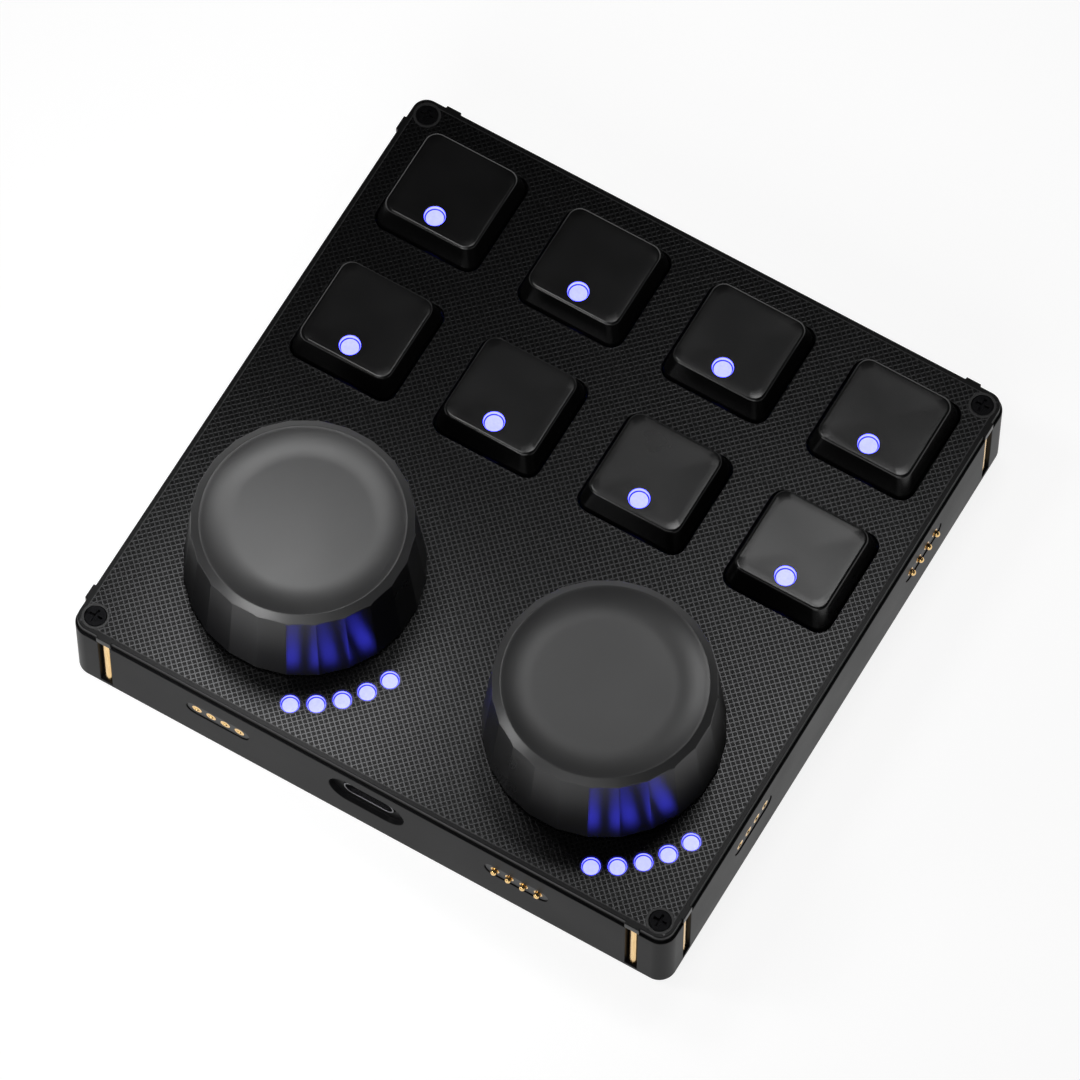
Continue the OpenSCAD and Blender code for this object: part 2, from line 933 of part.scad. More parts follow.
module knob(side) {
    color("#35353a")
        translate([side * knob_x, knob_y, 0])
            difference() {
                intersection() {
                    knob_facet_block();
                    rotate_extrude()
                        knob_top_section();
                }
                difference() {
                    translate([0, 0, knob_foot - past])
                        cylinder(
                            h = knob_ceiling - knob_foot + past,
                            r1 = knob_base_r - knob_wall,
                            r2 = knob_top_r - knob_wall
                        );
                    translate([0, 0, hub_foot])
                        cylinder(h = knob_h, r = hub_r);
                }
                translate([0, 0, hub_foot - past])
                    linear_extrude(hub_ceiling - hub_foot + past)
                        flat_shaft_outline(snug);
            }
}

// Outline of the shaft beside its flat, made larger all round by a clearance
module flat_shaft_outline(gap) {
    intersection() {
        circle(shaft_r + gap);
        translate([-2 * shaft_r, -2 * shaft_r])
            square([4 * shaft_r, 3 * shaft_r - shaft_flat + gap]);
    }
}

module encoder_shaft(side) {
    color("#9a9b9f")
        translate([side * knob_x, knob_y, 0]) {
            translate([0, 0, rotor_foot])
                cylinder(h = rotor_h, r = rotor_r);
            translate([0, 0, rotor_foot])
                cylinder(h = flat_foot - rotor_foot, r = shaft_r);
            translate([0, 0, rotor_foot])
                linear_extrude(shaft_top - rotor_foot)
                    flat_shaft_outline(0);
        }
}

module push_cup(side) {
    color("#cfcfd2")
        translate([side * knob_x, knob_y, cup_foot])
            cylinder(h = rotor_foot - cup_foot, r = cup_r);
}

// The four plungers of one wall, turned from the front wall by the given angle
module spring_pins(angle) {
    color("#e0b252")
        rotate(angle) {
            into_wall(dock_x, port_z, pin_r - pin_out, plunger_end)
                at_pins()
                    circle(pin_r);
            translate([dock_x, -half + pin_r - pin_out, port_z])
                at_pins()
                    sphere(pin_r);
        }
}

case_tray();
top_plate();
plate_screws();
screw_inserts();
rubber_feet();
corner_magnets();
main_board();
board_screws();
usb_shell();
usb_tongue();
switch_housings();
board_leds();
light_guides();
controller_chips();
encoder_bodies();
encoder_bushings();
dock_blocks();
dock_contacts();
keycap(1);  // keycap_1
keycap(2);  // keycap_2
keycap(3);  // keycap_3
keycap(4);  // keycap_4
keycap(5);  // keycap_5
keycap(6);  // keycap_6
keycap(7);  // keycap_7
keycap(8);  // keycap_8
key_lens(1);  // key_lens_1
key_lens(2);  // key_lens_2
key_lens(3);  // key_lens_3
key_lens(4);  // key_lens_4
key_lens(5);  // key_lens_5
key_lens(6);  // key_lens_6
key_lens(7);  // key_lens_7
key_lens(8);  // key_lens_8
key_stem(1);  // key_stem_1
key_stem(2);  // key_stem_2
key_stem(3);  // key_stem_3
key_stem(4);  // key_stem_4
key_stem(5);  // key_stem_5
key_stem(6);  // key_stem_6
key_stem(7);  // key_stem_7
key_stem(8);  // key_stem_8
key_spring(1);  // key_spring_1
key_spring(2);  // key_spring_2
key_spring(3);  // key_spring_3
key_spring(4);  // key_spring_4
key_spring(5);  // key_spring_5
key_spring(6);  // key_spring_6
key_spring(7);  // key_spring_7
key_spring(8);  // key_spring_8
knob(-1);  // knob_left
knob(1);  // knob_right
encoder_shaft(-1);  // encoder_shaft_left
encoder_shaft(1);  // encoder_shaft_right
push_cup(-1);  // push_cup_left
push_cup(1);  // push_cup_right
spring_pins(0);  // spring_pins_front
spring_pins(90);  // spring_pins_right
spring_pins(180);  // spring_pins_rear
spring_pins(270);  // spring_pins_left
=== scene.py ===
"""Dresses the solids of the keypad with its visual pieces, and sets its camera, stage and light."""
import json
import math

import bmesh
import bpy
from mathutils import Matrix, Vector


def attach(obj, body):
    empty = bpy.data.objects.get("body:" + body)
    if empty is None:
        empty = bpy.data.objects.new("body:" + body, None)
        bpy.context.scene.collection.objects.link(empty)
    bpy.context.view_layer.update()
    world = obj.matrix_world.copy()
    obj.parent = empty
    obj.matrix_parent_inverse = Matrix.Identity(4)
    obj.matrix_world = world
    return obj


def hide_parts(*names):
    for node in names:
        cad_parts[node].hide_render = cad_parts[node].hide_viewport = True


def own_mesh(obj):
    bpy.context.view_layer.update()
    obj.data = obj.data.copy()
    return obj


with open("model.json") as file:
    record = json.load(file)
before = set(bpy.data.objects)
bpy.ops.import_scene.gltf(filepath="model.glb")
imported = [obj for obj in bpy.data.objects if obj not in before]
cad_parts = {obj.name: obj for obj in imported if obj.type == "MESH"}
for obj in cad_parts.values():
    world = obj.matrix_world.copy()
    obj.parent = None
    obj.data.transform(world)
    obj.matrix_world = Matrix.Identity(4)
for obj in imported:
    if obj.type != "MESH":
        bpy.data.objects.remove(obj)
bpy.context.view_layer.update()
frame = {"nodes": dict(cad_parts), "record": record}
bpy.context.scene.view_settings.view_transform = "Standard"

MM = 0.001

# Camera: the photograph's own view, in metres and radians
LENS_MM = 315.48
SENSOR_MM = 36
CAMERA_PLACE = (0.30748, -0.53194, 1.34809)
CAMERA_TURN = (0.429371, -0.001966, 0.528694)
CAMERA_REACH = 20

# Levels above the table, in millimetres
PLATE_TOP = 17.3
CAP_FOOT = 15.3
CAP_SHOULDER = 17.45
CAP_CEILING = 20.1
CAP_TOP = 21.6
LENS_TOP = 20.7
GUIDE_TOP = 16.7
KNOB_FOOT = 17.9
KNOB_ROOF = 29.4
KNOB_LIP = 34.3
HUB_FOOT = 22.8

# Keys, in millimetres
KEY_PITCH = 26
REAR_ROW_Y = 38.8
KEY_PLACES = [((column - 1.5) * KEY_PITCH, REAR_ROW_Y - KEY_PITCH * row)
              for row in range(2) for column in range(4)]
CAP_BASE = 18.2
CAP_TOP_W = 16.2
CAP_TOP_D = 15.7
CAP_WALL = 1.1
CAP_CORNER = 2
CAP_RIM = 0.42
CAP_SHOULDER_EDGE = 0.5
CAP_FINE_EDGE = 0.1
CAP_SAG = 0.06
CAP_RINGS = 7
LENS_FORWARD = 5.1
LENS_HOLE_R = 1.7
DRILL_LENGTH = 4

# Knobs and their arcs of lights, in millimetres
KNOBS = {"left": -26.7, "right": 26.7}
KNOB_Y = -26.6
FACETS = 24
SKIRT_R = 18.9
SKIRT_TOP_R = 17.25
KNOB_WALL = 2.5
KNOB_FINE_EDGE = 0.12
LIP_R = 15.95
BEVEL_SLOPE = 0.66
DISH_R = 10.7
DISH_DEPTH = 0.97
DISH_STEPS = 10
HUB_R = 6
HUB_WALL = 2.97
BORE_DEPTH = 8.2
ARC_R = 23.35
ARC_ANGLES = [-45 + 9.9 * i for i in (-2, -1, 0, 1, 2)]

# Mesh pattern, border line and rings of the top plate, in millimetres
MESH_PITCH = 0.78
BORDER_OUT = 52.18
BORDER_W = 0.16
BORDER_CORNER = 1.7
TRIM_SINK = 0.02
BORDER_RISE = 0.04
RING_RISE = 0.03
LIGHT_RING = (1.46, 1.72)
SCREW_RING = (1.82, 2.2)
SCREW_PLACE = 50.2

# Light wells, in millimetres: radius of the floor, outer radius, and the rim's depth
PLATE_WELL = (1.22, 1.44, 0.04)
CAP_WELL = (1.42, 1.69, 0.12)
WELL_LIFT = 0.05
WELL_FOOT = 0.4
WELL_RIM = 0.04
GROOVE_W = 0.11
GROOVE_DEPTH = 0.04

ROUND_SIDES = 48
LEVEL_TOLERANCE = 0.01
FLOOR_DROP = 0.1

# Softboxes: place and aim in millimetres, width, depth, radiance
SOFTBOXES = {
    "panel_above": ((-55, 1, 160), (-55, 1, 0), 52, 40, 9.0),
    "panel_rear": ((10, 105, 340), (10, 105, 0), 80, 60, 10),
    "panel_close": ((-36, -82, 80), (-30, -50, 20), 34, 26, 10),
    "soft_front": ((150, -700, 500), (0, 0, 20), 700, 400, 2.0),
}

# World: white where a ray rises less than the first share, nearly black above the second
SKY_WHITE = (0.06, (0.95, 0.95, 0.95, 1))
SKY_BLACK = (0.32, (0.03, 0.03, 0.031, 1))


# Modelling tools ---------------------------------------------------------------------------------

def let_go():
    if bpy.context.object and bpy.context.object.mode != "OBJECT":
        bpy.ops.object.mode_set(mode="OBJECT")
    bpy.ops.object.select_all(action="DESELECT")


def take(piece):
    let_go()
    piece.select_set(True)
    bpy.context.view_layer.objects.active = piece


def shape(piece):
    take(piece)
    bpy.ops.object.mode_set(mode="EDIT")


def new_piece(name):
    """Names the primitive that was just added, and puts its place into its mesh."""
    piece = bpy.context.object
    piece.name = name
    piece.data.name = name
    bpy.ops.object.transform_apply(location=True, rotation=True, scale=True)
    return piece


def pick(piece, mode, test):
    """Selects the faces or edges of the piece in edit mode that pass the test."""
    bpy.ops.mesh.select_mode(type=mode)
    bpy.ops.mesh.select_all(action="DESELECT")
    mesh = bmesh.from_edit_mesh(piece.data)
    parts = mesh.faces if mode == "FACE" else mesh.edges
    for part in parts:
        part.select_set(test(part))
    bmesh.update_edit_mesh(piece.data)


def looks_up(face):
    return face.normal.z > 0.9


def looks_down(face):
    return face.normal.z < -0.9


def is_level(edge, height):
    return all(abs(vertex.co.z - height) < LEVEL_TOLERANCE for vertex in edge.verts)


def is_upright(edge):
    return abs(edge.verts[0].co.z - edge.verts[1].co.z) > 0.5


def push(rise):
    """Extrudes the selected faces upwards."""
    bpy.ops.mesh.extrude_region_move(TRANSFORM_OT_translate={"value": (0, 0, rise)})


def stretch(x, y):
    """Scales the selection about the Z axis."""
    bpy.ops.transform.resize(value=(x, y, 1), center_override=(0, 0, 0))


def modify(piece, kind, **settings):
    take(piece)
    modifier = piece.modifiers.new(kind.lower(), kind)
    for key, value in settings.items():
        setattr(modifier, key, value)
    bpy.ops.object.modifier_apply(modifier=modifier.name)


def round_edges(piece, width, segments=2, sharper_than=30):
    modify(piece, "BEVEL", width=width, segments=segments, limit_method="ANGLE",
           angle_limit=math.radians(sharper_than), use_clamp_overlap=False)


def cut(piece, tool, operation="DIFFERENCE"):
    modify(piece, "BOOLEAN", object=tool, operation=operation, solver="EXACT")
    bpy.data.objects.remove(tool)


def smooth(piece, angle=30):
    """Smooth shading whose normals keep large faces flat."""
    take(piece)
    bpy.ops.object.shade_smooth_by_angle(angle=math.radians(angle))
    modify(piece, "WEIGHTED_NORMAL", keep_sharp=True)


def to_metres(piece, angle=30):
    """Brings a form that was drawn in millimetres to metres, and shades it."""
    take(piece)
    piece.scale = (MM, MM, MM)
    bpy.ops.object.transform_apply(scale=True)
    smooth(piece, angle)
    return piece


def copy_to(piece, name, x, y):
    """A copy with its own mesh, moved by millimetres. The object stays at the origin."""
    twin = piece.copy()
    twin.data = piece.data.copy()
    twin.name = name
    twin.data.name = name
    bpy.context.scene.collection.objects.link(twin)
    take(twin)
    twin.location = (x * MM, y * MM, 0)
    bpy.ops.object.transform_apply(location=True)
    return twin


def from_solid(solid_name, name, width):
    """A copy of a CAD solid, merged and cleaned, with rounded edges where a width is given."""
    solid = frame["nodes"][solid_name]
    piece = solid.copy()
    piece.data = solid.data.copy()
    piece.name = name
    piece.data.name = name
    piece.parent = None
    for key in list(piece.keys()):
        del piece[key]
    bpy.context.scene.collection.objects.link(piece)
    take(piece)
    bpy.ops.mesh.customdata_custom_splitnormals_clear()
    shape(piece)
    bpy.ops.mesh.select_all(action="SELECT")
    bpy.ops.mesh.remove_doubles(threshold=1e-6)
    bpy.ops.mesh.dissolve_limited(angle_limit=math.radians(0.5))
    bpy.ops.mesh.normals_make_consistent(inside=False)
    let_go()
    if width:
        round_edges(piece, width * MM)
    smooth(piece)
    return piece


def turned(name, profile, sides, ring=False):
    """Turns a profile of (radius, height) points about the Z axis, from its first point on.

    The result is a solid with a flat face at both ends, or a ring whose profile closes on itself.
    """
    radius, height = profile[0]
    let_go()
    bpy.ops.mesh.primitive_circle_add(vertices=sides, radius=radius, location=(0, 0, height),
                                      fill_type="NOTHING" if ring else "NGON")
    piece = new_piece(name)
    shape(piece)
    pick(piece, "EDGE", lambda edge: len(edge.link_faces) < 2)
    steps = profile[1:] + (profile[:1] if ring else [])
    for next_radius, next_height in steps:
        rise = next_height - height
        bpy.ops.mesh.extrude_edges_move(TRANSFORM_OT_translate={"value": (0, 0, rise)})
        stretch(next_radius / radius, next_radius / radius)
        radius, height = next_radius, next_height
    if not ring:
        bpy.ops.mesh.edge_face_add()
    bpy.ops.mesh.select_all(action="SELECT")
    bpy.ops.mesh.remove_doubles(threshold=1e-4)
    bpy.ops.mesh.normals_make_consistent(inside=False)
    let_go()
    return piece


# Forms, each drawn about the origin --------------------------------------------------------------

def keycap_form():
    """A tapered hollow cap with a rounded top edge, a shallow dish and a hole for its light."""
    let_go()
    bpy.ops.mesh.primitive_cube_add(size=1, location=(0, 0, (CAP_FOOT + CAP_SHOULDER) / 2),
                                    scale=(CAP_BASE, CAP_BASE, CAP_SHOULDER - CAP_FOOT))
    cap = new_piece("keycap_form")
    shape(cap)
    pick(cap, "FACE", looks_up)
    push(CAP_TOP - CAP_SHOULDER)
    stretch(CAP_TOP_W / CAP_BASE, CAP_TOP_D / CAP_BASE)
    pick(cap, "EDGE", is_upright)
    bpy.ops.mesh.bevel(offset=CAP_CORNER, segments=8, affect="EDGES")
    pick(cap, "EDGE", lambda edge: is_level(edge, CAP_TOP))
    bpy.ops.mesh.bevel(offset=CAP_RIM, segments=4, affect="EDGES")
    pick(cap, "EDGE", lambda edge: is_level(edge, CAP_SHOULDER))
    bpy.ops.mesh.bevel(offset=CAP_SHOULDER_EDGE, segments=3, affect="EDGES")

    # the dish: rings that sink by less and less towards the middle
    pick(cap, "FACE", lambda face: face.normal.z > 0.99 and face.calc_area() > 100)
    for ring in range(CAP_RINGS, 1, -1):
        push(-CAP_SAG * (2 * ring - 1) / CAP_RINGS ** 2)
        stretch((ring - 1) / ring, (ring - 1) / ring)

    # the hollow
    pick(cap, "FACE", looks_down)
    bpy.ops.mesh.inset(thickness=CAP_WALL)
    push(CAP_CEILING - CAP_FOOT)
    inner = CAP_BASE - 2 * CAP_WALL
    stretch((CAP_TOP_W - 2 * CAP_WALL) / inner, (CAP_TOP_D - 2 * CAP_WALL) / inner)

    let_go()
    bpy.ops.mesh.primitive_cylinder_add(vertices=ROUND_SIDES, radius=LENS_HOLE_R,
                                        depth=DRILL_LENGTH, location=(0, -LENS_FORWARD, CAP_TOP))
    cut(cap, new_piece("lens_drill"))
    round_edges(cap, CAP_FINE_EDGE, 2, 50)
    return to_metres(cap)


def knob_form():
    """A faceted tapering skirt, a bevel, a lip and a dished top, hollow below round its hub."""
    let_go()
    bpy.ops.mesh.primitive_cone_add(vertices=FACETS, radius1=SKIRT_R, radius2=SKIRT_TOP_R,
                                    depth=KNOB_LIP - KNOB_FOOT,
                                    location=(0, 0, (KNOB_FOOT + KNOB_LIP) / 2),
                                    rotation=(0, 0, math.pi / FACETS))
    knob = new_piece("knob_form")

    # the round top: an arc from the flat dish out to the lip, then the bevel
    run = LIP_R - DISH_R
    curve = (run ** 2 + DISH_DEPTH ** 2) / (2 * DISH_DEPTH)
    lip_angle = math.asin(run / curve)
    profile = []
    for step in range(DISH_STEPS + 1):
        angle = lip_angle * step / DISH_STEPS
        profile.append((DISH_R + curve * math.sin(angle),
                        KNOB_LIP - DISH_DEPTH + curve * (1 - math.cos(angle))))
    outside = SKIRT_R + 1
    profile.append((outside, KNOB_LIP - BEVEL_SLOPE * (outside - LIP_R)))
    profile.append((outside, KNOB_FOOT - 1))
    cut(knob, turned("knob_top", profile, 8 * FACETS), "INTERSECT")

    # the hollow, its hub and the shaft's bore
    shape(knob)
    pick(knob, "FACE", looks_down)
    bpy.ops.mesh.inset(thickness=KNOB_WALL)
    push(KNOB_ROOF - KNOB_FOOT)
    inner = SKIRT_TOP_R - KNOB_WALL
    shrink = inner / (SKIRT_R - KNOB_WALL)
    stretch(shrink, shrink)
    bpy.ops.mesh.inset(thickness=inner * math.cos(math.pi / FACETS) - HUB_R)
    push(HUB_FOOT - KNOB_ROOF)
    bpy.ops.mesh.inset(thickness=HUB_WALL)
    push(BORE_DEPTH)
    let_go()
    round_edges(knob, KNOB_FINE_EDGE, 3, 12)
    return to_metres(knob, 11)


def light_cup(name, floor_r, top_r, base_z, rim_z):
    """The lit well above a light guide: the guide's glowing floor, a fine groove with a dim glow
    that is painted shade in the gap, and a wall whose glow is painted light from the guide.
    """
    floor_z = base_z + WELL_LIFT
    cup = turned(name, [(floor_r, floor_z), (floor_r + GROOVE_W, floor_z - GROOVE_DEPTH),
                        (floor_r + 2 * GROOVE_W, floor_z + WELL_LIFT), (top_r - WELL_RIM, rim_z),
                        (top_r, rim_z), (top_r, base_z - WELL_FOOT)], ROUND_SIDES)
    # the wall takes the guide's own glow as painted light, the groove a dimmer glow as painted
    # shade
    for face in cup.data.polygons:
        middle = math.hypot(face.center.x, face.center.y)
        face.material_index = 1 if floor_r - 0.1 < middle < floor_r + 1.6 * GROOVE_W else 0
    return to_metres(cup)


def flat_ring(name, inner, outer):
    """A thin ring that lies on the plate."""
    low, high = PLATE_TOP - TRIM_SINK, PLATE_TOP + RING_RISE
    profile = [(inner, low), (inner, high), (outer, high), (outer, low)]
    return to_metres(turned(name, profile, ROUND_SIDES, ring=True))


def plate_border():
    """A fine raised line round the plate's top."""
    let_go()
    bpy.ops.mesh.primitive_plane_add(size=2 * BORDER_OUT, location=(0, 0, PLATE_TOP - TRIM_SINK))
    line = new_piece("plate_border")
    shape(line)
    bpy.ops.mesh.select_all(action="SELECT")
    bpy.ops.mesh.bevel(offset=BORDER_CORNER, segments=6, affect="VERTICES")
    pick(line, "FACE", lambda face: True)
    bpy.ops.mesh.inset(thickness=BORDER_W)
    bpy.ops.mesh.delete(type="FACE")
    bpy.ops.mesh.select_all(action="SELECT")
    push(TRIM_SINK + BORDER_RISE)
    bpy.ops.mesh.select_all(action="SELECT")
    bpy.ops.mesh.normals_make_consistent(inside=False)
    return to_metres(line)


# Materials ---------------------------------------------------------------------------------------

def new_material(name):
    material = bpy.data.materials.new(name)
    material.use_nodes = True
    tree = material.node_tree
    return material, tree, tree.nodes["Principled BSDF"]


def node(tree, kind, inputs=None, **properties):
    """Adds a shader node. Inputs are joined to the sockets given, or take the values."""
    made = tree.nodes.new(kind)
    for key, value in properties.items():
        setattr(made, key, value)
    for socket, source in (inputs or {}).items():
        if isinstance(source, bpy.types.NodeSocket):
            tree.links.new(source, made.inputs[socket])
        else:
            made.inputs[socket].default_value = source
    return made


def place(tree):
    return node(tree, "ShaderNodeTexCoord").outputs["Object"]


def noise(tree, size_mm, detail, stretch_xyz=None):
    """Noise with features of about this size."""
    where = place(tree)
    if stretch_xyz:
        where = node(tree, "ShaderNodeMapping",
                     {"Vector": where, "Scale": stretch_xyz}).outputs["Vector"]
    return node(tree, "ShaderNodeTexNoise",
                {"Vector": where, "Scale": 1000 / size_mm, "Detail": detail}).outputs["Fac"]


def spread(tree, source, low, high, out_low, out_high, **properties):
    """Maps the range from low to high to the range from out_low to out_high."""
    return node(tree, "ShaderNodeMapRange",
                {"Value": source, "From Min": low, "From Max": high,
                 "To Min": out_low, "To Max": out_high}, **properties).outputs["Result"]


def tint(tree, source, dark, light, low=0.35, high=0.65):
    ramp = node(tree, "ShaderNodeValToRGB", {"Fac": source})
    ramp.color_ramp.elements[0].position = low
    ramp.color_ramp.elements[0].color = (*dark, 1)
    ramp.color_ramp.elements[1].position = high
    ramp.color_ramp.elements[1].color = (*light, 1)
    return ramp.outputs["Color"]


def bump(tree, shader, height, depth_mm, strength=1.0):
    made = node(tree, "ShaderNodeBump",
                {"Height": height, "Distance": depth_mm * MM, "Strength": strength})
    tree.links.new(made.outputs["Normal"], shader.inputs["Normal"])


def moulded(name, dark, light, rough, grain_mm=0.22, grain_depth=0.006, specular=0.5):
    """Moulded or lacquered plastic: fine grain, and slow changes of gloss and shade."""
    material, tree, shader = new_material(name)
    slow = noise(tree, 14, 4)
    gloss = spread(tree, slow, 0.3, 0.7, rough - 0.03, rough + 0.03)
    tree.links.new(tint(tree, slow, dark, light), shader.inputs["Base Color"])
    tree.links.new(gloss, shader.inputs["Roughness"])
    shader.inputs["Specular IOR Level"].default_value = specular
    bump(tree, shader, noise(tree, grain_mm, 2), grain_depth)
    return material


def metal(name, dark, light, rough, brush=(1, 1, 1)):
    """Plated or turned metal. A brush number under 1 draws its grain out along that axis."""
    material, tree, shader = new_material(name)
    lines = noise(tree, 0.12, 4, brush)
    gloss = spread(tree, lines, 0.3, 0.7, rough - 0.05, rough + 0.07)
    tree.links.new(tint(tree, lines, dark, light), shader.inputs["Base Color"])
    tree.links.new(gloss, shader.inputs["Roughness"])
    shader.inputs["Metallic"].default_value = 1.0
    bump(tree, shader, lines, 0.003)
    return material


def mesh_lacquer():
    """Black plate with a fine raised mesh of lines at 45 degrees, plain outside the border line."""
    material, tree, shader = new_material("plate_mesh")
    spots = node(tree, "ShaderNodeSeparateXYZ", {"Vector": place(tree)}).outputs
    x, y, z = spots["X"], spots["Y"], spots["Z"]

    def math_node(operation, first, second=0.0):
        return node(tree, "ShaderNodeMath", {0: first, 1: second}, operation=operation).outputs[0]

    # the lines: bright where either diagonal is near a whole number of steps
    steps = 1 / (math.sqrt(2) * MESH_PITCH * MM)
    rising = math_node("MULTIPLY", math_node("ADD", x, y), steps)
    falling = math_node("MULTIPLY", math_node("SUBTRACT", x, y), steps)
    gap = math_node("MINIMUM", math_node("PINGPONG", rising, 0.5),
                    math_node("PINGPONG", falling, 0.5))
    line = spread(tree, gap, 0.19, 0.09, 0.0, 1.0, interpolation_type="SMOOTHSTEP")

    # the mask: the plate's top face within the border line
    level = PLATE_TOP * MM
    slack = LEVEL_TOLERANCE * MM
    edge = math_node("MAXIMUM", math_node("ABSOLUTE", x), math_node("ABSOLUTE", y))
    inside = math_node("LESS_THAN", edge, (BORDER_OUT - BORDER_W) * MM)
    on_top = math_node("MULTIPLY", math_node("LESS_THAN", z, level + slack),
                       math_node("GREATER_THAN", z, level - slack))
    mask = math_node("MULTIPLY", inside, on_top)
    plain = math_node("MULTIPLY", math_node("SUBTRACT", 1.0, mask), 0.25)
    lines = math_node("ADD", math_node("MULTIPLY", line, mask), plain)

    shade = tint(tree, lines, (0.0008, 0.0008, 0.0009), (0.036, 0.036, 0.037), 0.0, 1.0)
    tree.links.new(shade, shader.inputs["Base Color"])
    tree.links.new(lines, shader.inputs["Metallic"])
    tree.links.new(spread(tree, lines, 0, 1, 0.30, 0.26), shader.inputs["Roughness"])
    shader.inputs["Specular IOR Level"].default_value = 0.12
    bump(tree, shader, lines, 0.012, 0.6)
    return material


def glow(name, colour, strength, base):
    """A faint uneven glow: milky plastic lit from behind, and also painted light on parts where
    that light falls.
    """
    material, tree, shader = new_material(name)
    uneven = spread(tree, noise(tree, 0.5, 2), 0.3, 0.7, 0.94 * strength, 1.06 * strength)
    shader.inputs["Base Color"].default_value = (*base, 1)
    shader.inputs["Roughness"].default_value = 0.3
    shader.inputs["Emission Color"].default_value = (*colour, 1)
    tree.links.new(uneven, shader.inputs["Emission Strength"])
    return material


def circuit_board():
    """Solder mask with a faint raised pattern of bricks and lines."""
    material, tree, shader = new_material("board_mask")
    cells = node(tree, "ShaderNodeTexBrick",
                 {"Vector": place(tree), "Scale": 240, "Mortar Size": 0.018,
                  "Color1": (0.012, 0.06, 0.03, 1), "Color2": (0.016, 0.075, 0.036, 1),
                  "Mortar": (0.03, 0.13, 0.06, 1)})
    tree.links.new(cells.outputs["Color"], shader.inputs["Base Color"])
    shader.inputs["Roughness"].default_value = 0.35
    bump(tree, shader, cells.outputs["Fac"], 0.02)
    return material


MATERIALS = {
    "case_black": moulded("case_satin", (0.006, 0.006, 0.0065), (0.009, 0.009, 0.0095), 0.38,
                          specular=0.05),
    "plate_black": mesh_lacquer(),
    "screw_black": metal("screw_oxide", (0.004, 0.004, 0.0045), (0.012, 0.012, 0.013), 0.42),
    "brass": metal("insert_brass", (0.62, 0.45, 0.18), (0.78, 0.6, 0.28), 0.3),
    "rubber": moulded("foot_rubber", (0.012, 0.012, 0.012), (0.022, 0.022, 0.022), 0.8,
                      grain_mm=0.5, grain_depth=0.02, specular=0.3),
    "gold_plate": metal("contact_gold", (0.82, 0.52, 0.2), (0.95, 0.66, 0.3), 0.2,
                        brush=(1, 1, 0.05)),
    "board_green": circuit_board(),
    "steel": metal("turned_steel", (0.5, 0.5, 0.52), (0.68, 0.68, 0.7), 0.28, brush=(1, 1, 0.2)),
    "dark_nickel": metal("socket_nickel", (0.10, 0.10, 0.11), (0.17, 0.17, 0.18), 0.3),
    "block_black": moulded("block_plastic", (0.006, 0.006, 0.007), (0.012, 0.012, 0.013), 0.5),
    "light_blue": glow("light_face", (0.055, 0.058, 1.0), 10.5, (0.03, 0.03, 0.08)),
    "keycap_black": moulded("keycap_satin", (0.0018, 0.0018, 0.0019), (0.0024, 0.0024, 0.0025),
                            0.25, grain_mm=0.12, grain_depth=0.0012),
    "stem_red": moulded("stem_red", (0.3, 0.03, 0.03), (0.42, 0.05, 0.05), 0.35),
    "stem_white": moulded("cup_white", (0.6, 0.6, 0.6), (0.72, 0.72, 0.72), 0.35),
    "knob_black": moulded("knob_gloss", (0.003, 0.003, 0.0035), (0.005, 0.005, 0.006), 0.30,
                          grain_mm=0.3, grain_depth=0.0008),
}
# painted shade as a glow: a dim deep-blue emission in the groove of each light well, between the
# lit floor and the wall
PAINTED_GROOVE_GLOW = glow("painted_groove_glow", (0.03, 0.04, 1.0), 0.4, (0.02, 0.02, 0.1))
# painted light: a faint blue glow on the ring round each plate light, for the light that spills
# onto the plate
PAINTED_HALO = glow("painted_halo_glow", (0.03, 0.03, 1.0), 0.07, (0.006, 0.006, 0.01))
# the knob's upward faces: a satin finish of their own, and a colour lighter than the skirt that is
# painted light from above
KNOB_TOP_PAINTED_LIGHT = moulded("knob_satin_painted_light", (0.026, 0.026, 0.0265), (0.032, 0.032, 0.0325), 0.36,
                   grain_mm=0.1, grain_depth=0.002)
PLAIN = moulded("plate_plain", (0.005, 0.005, 0.0055), (0.009, 0.009, 0.0095), 0.42)

# the skirt's gloss is drawn out round the knob
knob_tree = MATERIALS["knob_black"].node_tree
knob_shader = knob_tree.nodes["Principled BSDF"]
knob_shader.inputs["Anisotropic"].default_value = 0.8
knob_shader.inputs["Anisotropic Rotation"].default_value = 0.25
tangent = node(knob_tree, "ShaderNodeTangent", direction_type="RADIAL", axis="Z")
knob_tree.links.new(tangent.outputs["Tangent"], knob_shader.inputs["Tangent"])

for part in frame["record"]["subparts"]:
    for material_slot in frame["nodes"][part["node"]].material_slots:
        material_slot.link = "OBJECT"
        material_slot.material = MATERIALS[part["material_slot"]]


def dress(piece, body, slot, materials, *replaced):
    """Gives a piece its materials and body, and hides the nodes that it stands for. The slot is not
    used.
    """
    if piece.data.materials:
        piece.data.materials.clear()
    for material in materials:
        piece.data.materials.append(material)
    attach(piece, body)
    if replaced:
        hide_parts(*replaced)


# Case, plate and small parts ---------------------------------------------------------------------

for solid, piece_name, slot_name, width in (
    ("case_tray", "case_shell", "case_black", 0.16),
    ("top_plate", "plate_skin", "plate_black", 0.12),
    ("plate_screws", "corner_screws", "screw_black", 0.06),
    ("rubber_feet", "foot_pads", "rubber", 0.3),
    ("usb_shell", "socket_shell", "dark_nickel", 0.1),
    ("corner_magnets", "magnet_rods", "gold_plate", 0.12),
):
    dress(from_solid(solid, piece_name, width), "root", slot_name, [MATERIALS[slot_name]], solid)

dress(plate_border(), "root", "plate_black", [PLAIN])

